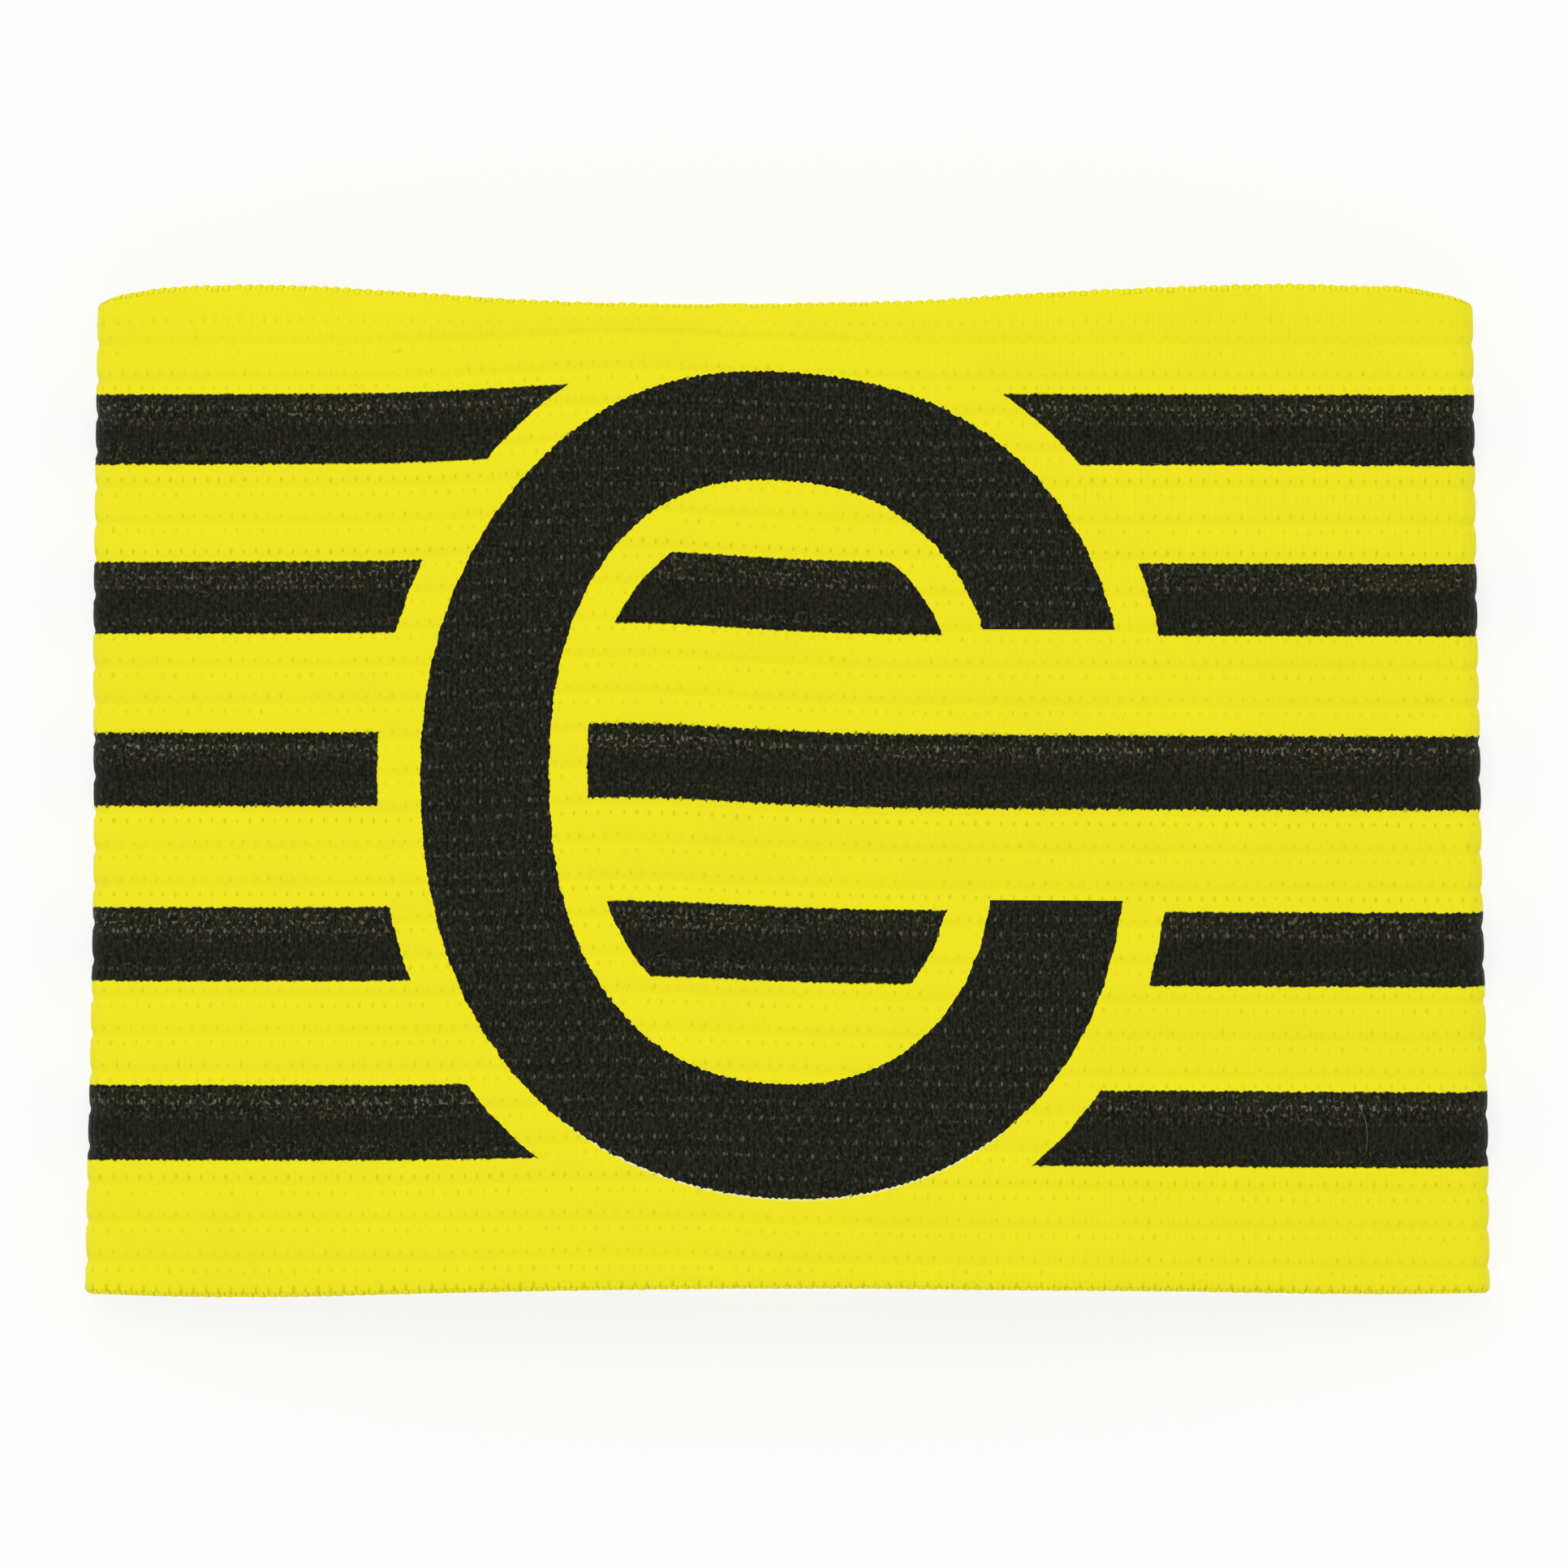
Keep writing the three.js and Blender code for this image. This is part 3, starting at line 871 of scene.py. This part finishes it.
# reach and strength of the darker painted shade, and its share beside a stripe
pit_reach, pit_gain = 1.2, 1.6
pit_by_stripe = 0.6  # how deep the pits beside a stripe are, as a share of the selvedge's
under_odd = [start - row_under for start, end in stripes[::2]]
over_even = [end + row_over for start, end in stripes[1::2]]
beside_stripe = nearness(stitched, up, under_odd + over_even, pit_reach)
beside_stripe = stitched.sum("MULTIPLY", beside_stripe, pit_by_stripe)
at_selvedge = nearness(stitched, up, [from_selvedge], pit_reach)
deep_pit_shade = stitched.sum("MAXIMUM", at_selvedge, beside_stripe)
deep_pit_shade = stitched.sum("MULTIPLY", deep_pit_shade, pit_gain, clamp=True)
pit_shade_on_yellow = stitched.mix(deep_pit_shade, pit_shade_on_yellow, stitch_deep_pit_shade)
# on a stripe the stitches are paler in its bands of painted sheen
on_stripe = stitched.mix(stitched.sum("MULTIPLY", strength, specks_and_sheen_band(stitched, up)), ink, ink_speck)
on_letter = stitched.mix(strength, ink, stitch_on_ink)
colour = stitched.mix(stripe, pit_shade_on_yellow, on_stripe)
colour = stitched.mix(letter, colour, on_letter)
dull_fabric(stitched, colour)
print(f"{stitched.material.name}: {len(stitched.tree.nodes)} nodes")

# %% The stitches' shape and places
stitch_wide, stitch_tall, stitch_high = 0.31, 0.56, 0.030
least_stitch, largest_stitch = 0.75, 1.15  # size of a stitch, as a share of those
stitch_stray = 0.03  # how far one strays, in steps along and in millimetres across
from_upper = 1.8  # from the upper selvedge to the row of stitches there
generator = np.random.default_rng(7)


def stitch_dome(sides=6, foot_out=-0.5, belt_out=0.72):
    """A dome as offsets (along, across, out), as shares of its sizes: a ring at its foot, which is
    sunk in the cloth, a smaller ring, and its top."""
    turn = np.arange(sides) / sides * 2 * np.pi
    foot = np.stack([np.cos(turn) / 2, np.sin(turn) / 2, np.full(sides, foot_out)], axis=-1)
    belt = np.stack([np.cos(turn) / 3, np.sin(turn) / 3, np.full(sides, belt_out)], axis=-1)
    shape = np.concatenate([foot, belt, [[0, 0, 1]]])
    here, next_one = np.arange(sides), (np.arange(sides) + 1) % sides
    lower_side = np.stack([here, next_one, here + sides], axis=-1)
    upper_side = np.stack([next_one, next_one + sides, here + sides], axis=-1)
    top = np.stack([here + sides, next_one + sides, np.full(sides, 2 * sides)], axis=-1)
    faces = np.concatenate([lower_side, upper_side, top])
    base = here[None, ::-1]
    return shape * (stitch_wide, stitch_tall, stitch_high), faces, base


def stitch_rows(low_share, high_share):
    """Places (share of half the strip, w) of the stitches between two shares: one for each whole
    step along each lip of each groove, the rows of a pair half a step apart, and one for each
    whole step along the row beside each selvedge."""
    step = stitch_pitch / middle_half
    along = np.arange(math.ceil(low_share / step), math.floor(high_share / step)) * step
    number = np.arange(rib_count - 1)
    middles = lower_rib + rib_pitch * number
    lips = np.stack([middles - groove_half, middles + groove_half], axis=-1).ravel()
    lips = np.concatenate([[from_selvedge], lips, [band_width - from_upper]])
    shift = np.concatenate([[0.0], np.tile([0.0, 0.5], rib_count - 1), [0.0]]) * step
    places, across = np.broadcast_arrays(along[None] + shift[:, None], lips[:, None])
    jitter = generator.normal(0, stitch_stray, (2, places.size))
    return places.ravel() + jitter[0] * step, across.ravel() + jitter[1]


def stitches(name, low_share, high_share):
    """One mesh of all the stitches between two shares of half the strip's length."""
    shape, faces, base = stitch_dome()
    place, across = stitch_rows(low_share, high_share)
    size = generator.uniform(least_stitch, largest_stitch, len(place))
    share = place[:, None] + shape[:, 0] * size[:, None] / middle_half
    w = across[:, None] + shape[:, 1] * size[:, None]
    depth = rib_depth(w) - shape[:, 2]
    points, measures = cloth(share, w, depth)
    measures = np.broadcast_to(measures.mean(axis=1, keepdims=True), measures.shape)
    many = [repeated(some, len(shape), len(place)) for some in (faces, base)]
    return new_piece(name, points, measures, many, stitched.material, "elastic_webbing")


# %% The stitches of the front and of the back's two halves
fold_share = (front_half(band_width / 2)[0] + fold_length / 2) / middle_half
hidden_share = 1 - lap_length / middle_half  # from here the left end lies hidden in the lap
front_stitches = stitches("front_stitches", -fold_share, fold_share)
left_stitches = stitches("left_back_stitches", -hidden_share, -fold_share)
right_stitches = stitches("right_back_stitches", fold_share, 1.0)

# %% [markdown]
# ## Loops along the selvedges
#
# At each selvedge the crossing thread turns round the outermost cord and goes back, which leaves a
# row of small loops, a little closer together than the stitches. They give the two edges their
# fine scallops. Each is a short bent tube, written as places round the selvedge's own half
# ellipse, and the loops lie flatter where the strip is bent round a fold.

# %% The selvedge loops
loop_pitch = 1.0  # from one loop to the next
loop_half_width = 0.31
loop_half_heights = (0.035, 0.095)  # at the lower and the upper selvedge
loop_slant = 0.15  # how far a loop leans along the strip
loop_sunk = 0.6  # how far its tube lies in the cloth, as a share of its half height
least_loop, largest_loop = 0.45, 1.3  # height of a loop, as a share of the half heights
worn_share, worn_reach = 0.75, 7.0  # how much flatter the loops are at a fold, and how far from it


def selvedge_loops(steps_round=7, sides=6, from_turn=0.12, to_turn=0.88):
    """Flat tubes round both selvedges. At an angle a round the edge, the tube's middle lies on
    the half ellipse of the edge, and an ellipse round it, by the angle b, lies in the plane of out
    and along. The tube stands out by the square of a's sine, so that its two ends sink into the
    cloth, and by a random size, which a bell curve of the distance makes less at a fold."""
    step = loop_pitch / middle_half
    starts = np.arange(math.ceil(-1 / step) + 1, math.floor(1 / step)) * step
    a = np.linspace(from_turn, to_turn, steps_round)[:, None] * np.pi
    b = np.arange(sides) / sides * 2 * np.pi
    beside = loop_half_width * np.cos(b) + loop_slant * (a / np.pi - 0.5)
    tube = grid_faces(steps_round, sides, ring=True)
    ends = np.stack([np.arange(sides), np.arange(sides)[::-1] + (steps_round - 1) * sides])
    from_fold = (np.abs(starts) - fold_share) * middle_half
    worn = 1 - worn_share * np.exp(-((from_fold / worn_reach) ** 2))
    points, measures, faces = [], [], []
    for edge, half_height in enumerate(loop_half_heights):
        size = (worn * generator.uniform(least_loop, largest_loop, len(starts)))[:, None, None]
        out = half_height * ((1.0 + np.sin(b)) * np.sin(a) ** 2 - loop_sunk) * size
        reach = edge_round * (1 - np.sin(a)) - out * np.sin(a)
        depth = wall / 2 - (wall / 2 + out) * np.cos(a)
        w = band_width - reach if edge else reach
        share = starts[:, None, None] + beside / middle_half
        some, told = cloth(share, w, depth)
        points.append(some.reshape(-1, 3))
        measures.append(told.reshape(-1, 3))
        first = len(starts) * steps_round * sides * edge
        for part in (tube, ends):
            some_faces = repeated(part, steps_round * sides, len(starts)) + first
            faces.append(some_faces if edge else some_faces[:, ::-1])
    return np.concatenate(points), np.concatenate(measures), faces


loops = new_piece("selvedge_loops", *selvedge_loops(), webbing.material, "elastic_webbing")

# %% [markdown]
# ## The thread of the seam
#
# A thread is a tube along a path. At each point of the path a ring of points stands square to the
# way the path goes. Two rows of zigzag stitches sew the lap, which is the stitch that can stretch
# with the webbing. On each face the thread lies on the cloth from hole to hole, and dips in there.

# %% Tubes along many paths
def tubes(paths, radius, sides):
    """Tubes along paths of shape (count, points, 3). The ring at a point is a circle spanned by
    two directions square to the path: one nearly level, and one square to both. The ends are
    closed with flat faces."""
    way = np.gradient(paths, axis=1)
    way = way / np.linalg.norm(way, axis=-1, keepdims=True)
    level = np.cross(way, (0.0, 0.0, 1.0))
    level = level / np.linalg.norm(level, axis=-1, keepdims=True)
    rise = np.cross(level, way)
    turn = np.arange(sides)[:, None] / sides * 2 * np.pi
    ring = np.cos(turn) * level[:, :, None] + np.sin(turn) * rise[:, :, None]
    radius = np.broadcast_to(radius, paths.shape[:2])[:, :, None, None]
    points = paths[:, :, None] + radius * ring
    count, length = paths.shape[:2]
    one = grid_faces(length, sides, ring=True)
    end = np.stack([np.arange(sides), np.arange(sides)[::-1] + (length - 1) * sides])
    each = length * sides
    return points.reshape(-1, 3), [repeated(one, each, count), repeated(end, each, count)]


def ring_measures(path_measures, sides):
    """The cloth's measures under a path, given to every point of the ring there."""
    return np.repeat(path_measures.reshape(-1, 3), sides, axis=0)


# %% The seam
seam_thread = Sheet("seam_thread")
thread_colour = (0.82, 0.76, 0.045, 1)
dull_fabric(seam_thread, thread_colour)
thread_radius = 0.13
zigzag_half, zigzag_step = 0.95, 1.1  # half its width, and how far it moves on at each stitch
seam_margin = 1.2  # from each selvedge to the seam's first and last hole
under_lies, over_lies = 0.6 * thread_radius, 0.4 * thread_radius  # into one face, out of the other
under_dips, over_dips = 0.25, 0.35  # how deep it goes into each face at a hole


def seam(places_per_stitch=6):
    """The two rows on both faces. Across the lap the thread goes to and fro as a triangle wave,
    up the strip it moves on evenly, and it dips into the cloth by a cosine's cube at each hole."""
    up = np.arange(seam_margin, band_width - seam_margin, zigzag_step / places_per_stitch)
    stitch = (up - seam_margin) / zigzag_step
    swing = 2 * np.abs(np.mod(stitch, 2) - 1) - 1
    dip = np.clip(np.cos(2 * np.pi * stitch), 0, 1) ** 3
    paths, measures = [], []
    for row in seam_x:
        x = row + zigzag_half * swing
        from_end = (lap_length / 2 + x) / middle_half
        under, told = cloth(1 - from_end, up, under_lies + under_dips * dip)
        paths.append(under)
        measures.append(told)
        from_end = (lap_length / 2 - x) / middle_half
        over, told = cloth(-1 + from_end, up, wall + over_lies - over_dips * dip)
        paths.append(over)
        measures.append(told)
    return np.array(paths), np.array(measures)


seam_paths, seam_measures = seam()
thread_sides = 6
seam_points, seam_faces = tubes(seam_paths, thread_radius, thread_sides)
seam_told = ring_measures(seam_measures, thread_sides)
lap_seam = new_piece(
    "lap_seam", seam_points, seam_told, seam_faces, seam_thread.material, "sewing_thread"
)

# %% [markdown]
# ## Loose fibres
#
# Worn webbing has a few loose fibres on its face, and its cut ends fray. Hair particles could make
# both, but a thin tube along a path is a mesh at once, and its path can be asked of the cloth. The
# fringe keeps the lap's ends from looking like cut sheet.

# %% The fibres' paths
fibre_radius = 0.028
fibre_sunk = 0.02  # how far a fibre's ends lie in the cloth
fibre_places = 14  # points along a fibre


def fibre(start, end, bow, lift):
    """A fibre from one place (along, up) to another, bowed to the side by a sine, and lifted off
    the cloth in its middle by another."""
    t = np.linspace(0, 1, fibre_places)
    (x0, u0), (x1, u1) = start, end
    side = bow * np.sin(np.pi * t)
    length = math.hypot(x1 - x0, u1 - u0)
    along = x0 + (x1 - x0) * t - side * (u1 - u0) / length
    up = u0 + (u1 - u0) * t + side * (x1 - x0) / length
    depth = fibre_sunk - fibre_radius - lift * np.sin(np.pi * t)
    return cloth(along / strip_half(up), up, depth)


fringe_margin, fringe_stray = 2.0, 0.25  # from each selvedge, and how unevenly the yarns stand
least_yarn, most_yarn = (0.35, -0.1, -0.3), (0.95, 0.1, 0.3)  # length, bow and drift up the strip
yarn_root = 0.15  # how far inside the cut a yarn starts
yarn_depths, yarn_droop = (0.35, 1.05), 0.1  # depth in the wall, and how far it droops


def fringe(end, count):
    """Short ends of yarn that stick out of a cut end of the strip, each bowed by a sine and
    drifting evenly up or down."""
    made = []
    for height in np.linspace(fringe_margin, band_width - fringe_margin, count):
        height = height + generator.normal(0, fringe_stray)
        length, bow, drift = generator.uniform(least_yarn, most_yarn)
        t = np.linspace(0, 1, fibre_places)
        up = height + drift * t + bow * np.sin(np.pi * t)
        beyond = (length * t - yarn_root) / middle_half
        depth = generator.uniform(*yarn_depths) + yarn_droop * t
        made.append(cloth(end * (1 + beyond), up, depth))
    return made


# %% The fibres themselves
# Three that stand out on the print, each from one place (along, up) to another.
named_fibres = [
    fibre((51.2, 17.4), (52.1, 12.3), 0.5, 0.25),
    fibre((-6.9, 48.6), (-6.2, 47.6), 0.2, 0.15),
    fibre((19.9, 48.2), (20.6, 47.4), -0.2, 0.15),
]
short_count = 9  # short fibres anywhere on the front
least_place, most_place = (-60, 2, 0), (60, band_width - 2, 2 * np.pi)  # along, up and turned
least_fibre, most_fibre = (0.4, -0.2), (1.0, 0.2)  # length and bow
short_lift = 0.1  # how far their middles rise from the cloth
short_fibres = []
for _ in range(short_count):
    x, height, turned = generator.uniform(least_place, most_place)
    length, bow = generator.uniform(least_fibre, most_fibre)
    tip = (x + length * math.cos(turned), height + length * math.sin(turned))
    short_fibres.append(fibre((x, height), tip, bow, short_lift))
on_the_face = named_fibres + short_fibres
fringe_count = 150  # yarns that stick out of each cut end
at_the_ends = fringe(1.0, fringe_count) + fringe(-1.0, fringe_count)
fibre_paths, fibre_measures = (np.array(part) for part in zip(*on_the_face, *at_the_ends))
fibre_sides = 4
tip_share = 0.08  # of the half turn whose sine, under a root, tapers a fibre to its tips
taper = np.sin(np.pi * np.linspace(tip_share, 1 - tip_share, fibre_places)) ** 0.5
fibre_points, fibre_faces = tubes(fibre_paths, fibre_radius * taper, fibre_sides)
fibre_told = ring_measures(fibre_measures, fibre_sides)
fibre_face = np.repeat([1.0, 0.0], [len(on_the_face), len(at_the_ends)])
fibre_face = np.repeat(fibre_face, fibre_places * fibre_sides)
print(f"{len(on_the_face)} fibres on the face, {len(at_the_ends)} at the cut ends")

# %% The fibres' material, inked only where a fibre lies on the print
fibre_sheet = Sheet("loose_fibre")
along, up, groove_number = cloth_measures(fibre_sheet)
letter, stripe = print_masks(fibre_sheet, along, up, groove_number)[:2]
inked = fibre_sheet.sum("MAXIMUM", letter, stripe)
inked = fibre_sheet.sum("MULTIPLY", inked, printed_face(fibre_sheet))
dull_fabric(fibre_sheet, fibre_sheet.mix(inked, yellow, fibre_on_ink))
fibres = new_piece(
    "loose_fibres", fibre_points, fibre_told, fibre_faces, fibre_sheet.material,
    "elastic_webbing", fibre_face,
)

# %% [markdown]
# ## The strip's size
#
# The strip is a sheet with the size that it was cut to: the webbing's width, and the
# loop's length with the lap. The stitches, the selvedge loops and the threads belong to it.

# %% [markdown]
# ## The table, the light and the camera
#
# The armband lies on a plain pale table, which glows a little from below, as a photographer's
# light table does, so that the shadows stay pale. Most of the light comes from everywhere, as in
# a light tent, and a large soft lamp from the upper left lets the ribs show. The camera looks
# straight down from far away through a long lens, so that the front is seen without perspective.

# %% Floor
floor_size = 6.0  # metres
glow = 0.786  # strength of its own light
floor_grey = 0.20  # share of the light that it throws back
floor_drop = 0.01 * MM  # how far under the lowest thread it lies
floor_mesh = bpy.data.meshes.new("floor")
corner = floor_size / 2
floor_mesh.from_pydata(
    [(-corner, -corner, 0), (corner, -corner, 0), (corner, corner, 0), (-corner, corner, 0)],
    [], [(0, 1, 2, 3)],
)
floor = bpy.data.objects.new("floor", floor_mesh)
floor.location.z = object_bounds()[0][2] - floor_drop
bpy.context.collection.objects.link(floor)
pale = Sheet("pale_floor")
pale.shader.inputs["Base Color"].default_value = (floor_grey, floor_grey, floor_grey, 1)
pale.shader.inputs["Emission Color"].default_value = (1, 1, 1, 1)
pale.shader.inputs["Emission Strength"].default_value = glow
pale.shader.inputs["Roughness"].default_value = 1.0
pale.shader.inputs["Specular IOR Level"].default_value = 0.0
floor_mesh.materials.append(pale.material)
floor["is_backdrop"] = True
print(f"floor {floor_size:.0f} m wide, at {floor.location.z / MM:.3f} mm")

# %% Light
tent_strength = 0.85
lamp_size, lamp_power = 2.4, 45  # metres and watts
lamp_place = (-0.7, 2.4, 3.5)  # metres from the armband
world = bpy.data.worlds.new("light_tent")
world.use_nodes = True
world.node_tree.nodes["Background"].inputs["Color"].default_value = (1, 1, 1, 1)
world.node_tree.nodes["Background"].inputs["Strength"].default_value = tent_strength
bpy.context.scene.world = world

lamp_data = bpy.data.lights.new("soft_key", "AREA")
lamp_data.shape = "SQUARE"
lamp_data.size = lamp_size
lamp_data.energy = lamp_power
lamp = bpy.data.objects.new("soft_key", lamp_data)
lamp.location = lamp_place
lamp.rotation_euler = (-lamp.location).to_track_quat("-Z", "Y").to_euler()
bpy.context.collection.objects.link(lamp)
lamp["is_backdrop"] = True

bpy.context.scene.view_settings.view_transform = "Standard"
print(f"lamp {lamp.location.length:.2f} m away, {lamp_power} W")

# %% Camera
sensor_width, lens = 36.0, 762.5  # millimetres, as on a real camera
camera_height = 3.0026  # metres
camera_off = (-0.293, 0.513)  # millimetres from the armband's middle
far_clip = 20.0
camera_data = bpy.data.cameras.new("camera")
camera_data.sensor_width = sensor_width
camera_data.lens = lens
camera_data.clip_end = far_clip
camera = bpy.data.objects.new("camera", camera_data)
camera.location = (camera_off[0] * MM, camera_off[1] * MM, camera_height)
camera.rotation_euler = (0, 0, 0)
bpy.context.collection.objects.link(camera)
bpy.context.scene.camera = camera
print(f"camera {camera_height:.2f} m up, {math.degrees(camera_data.angle):.2f} degrees wide")

# %% The visual model's size beside the CAD's
sizes = {"cad": [list(c) for c in cad_box], "visual": [list(c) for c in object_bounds()]}
for name, corners in sizes.items():
    print(name, [round((b - a) / MM, 2) for a, b in zip(*corners)])
